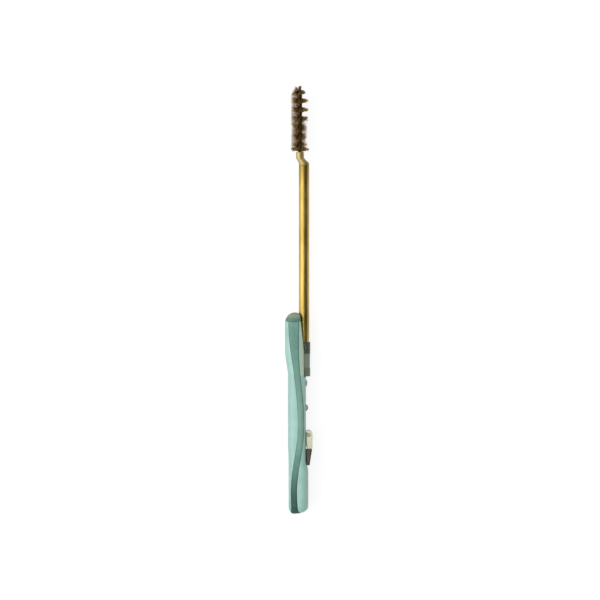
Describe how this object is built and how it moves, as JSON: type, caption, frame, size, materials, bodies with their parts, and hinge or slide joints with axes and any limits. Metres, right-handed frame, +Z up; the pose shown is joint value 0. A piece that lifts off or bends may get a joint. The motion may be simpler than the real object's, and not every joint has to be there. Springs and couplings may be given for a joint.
{
  "type": "extending spiral wire brush",
  "caption": "Slim teal handle with a side groove and a thumb slide that pushes a straight brass rod with a cranked neck and a spiral wire tube brush.",
  "frame": {"origin": "on the flat land under the back shell, half way along the handle, on the centre line of its waist", "axes": "+X along the tool from the tail to the brush, +Z up from the surface that the tool lies on, -Y the side of the groove, the rod and the thumb slide"},
  "size_m": [0.2863, 0.0184, 0.0175],
  "materials": {
    "teal_plastic": "satin moulded",
    "soft_teal": "matt",
    "nose_rubber": "matt",
    "tail_rubber": "matt",
    "dark_rubber": "matt",
    "dark_plastic": "satin moulded",
    "cream_plastic": "satin moulded",
    "brass": "drawn, lightly tarnished",
    "steel": "plain",
    "bristle_wire": "dark bronze wire"
  },
  "bodies": {
    "handle": {"front_shell": "teal_plastic", "back_shell": "teal_plastic", "front_grip_inlay": "soft_teal", "back_grip_inlay": "soft_teal", "nose_cap": "nose_rubber", "tail_cap": "tail_rubber", "rear_bumper": "dark_rubber", "shell_screw_1": "steel", "shell_screw_2": "steel", "shell_screw_3": "steel", "shell_screw_4": "steel"},
    "slider": {"rod_tube": "brass", "cranked_neck": "brass", "rod_plug": "dark_plastic", "slide_shoe": "dark_plastic", "shoe_pin": "steel", "pull_link": "steel", "link_pin_front": "steel", "link_pin_rear": "steel", "thumb_block": "dark_plastic", "thumb_cap": "cream_plastic", "cap_screw": "steel", "thumb_pad": "dark_rubber", "detent_spring": "steel", "bristle_section_1": "bristle_wire", "bristle_section_2": "bristle_wire", "bristle_section_3": "bristle_wire", "bristle_section_4": "bristle_wire", "core_stem": "bristle_wire"}
  },
  "joints": [
    {"name": "rod_extend", "type": "slide", "parent": "handle", "child": "slider", "axis": [1, 0, 0], "range_m": [0, 0.012]}
  ]
}
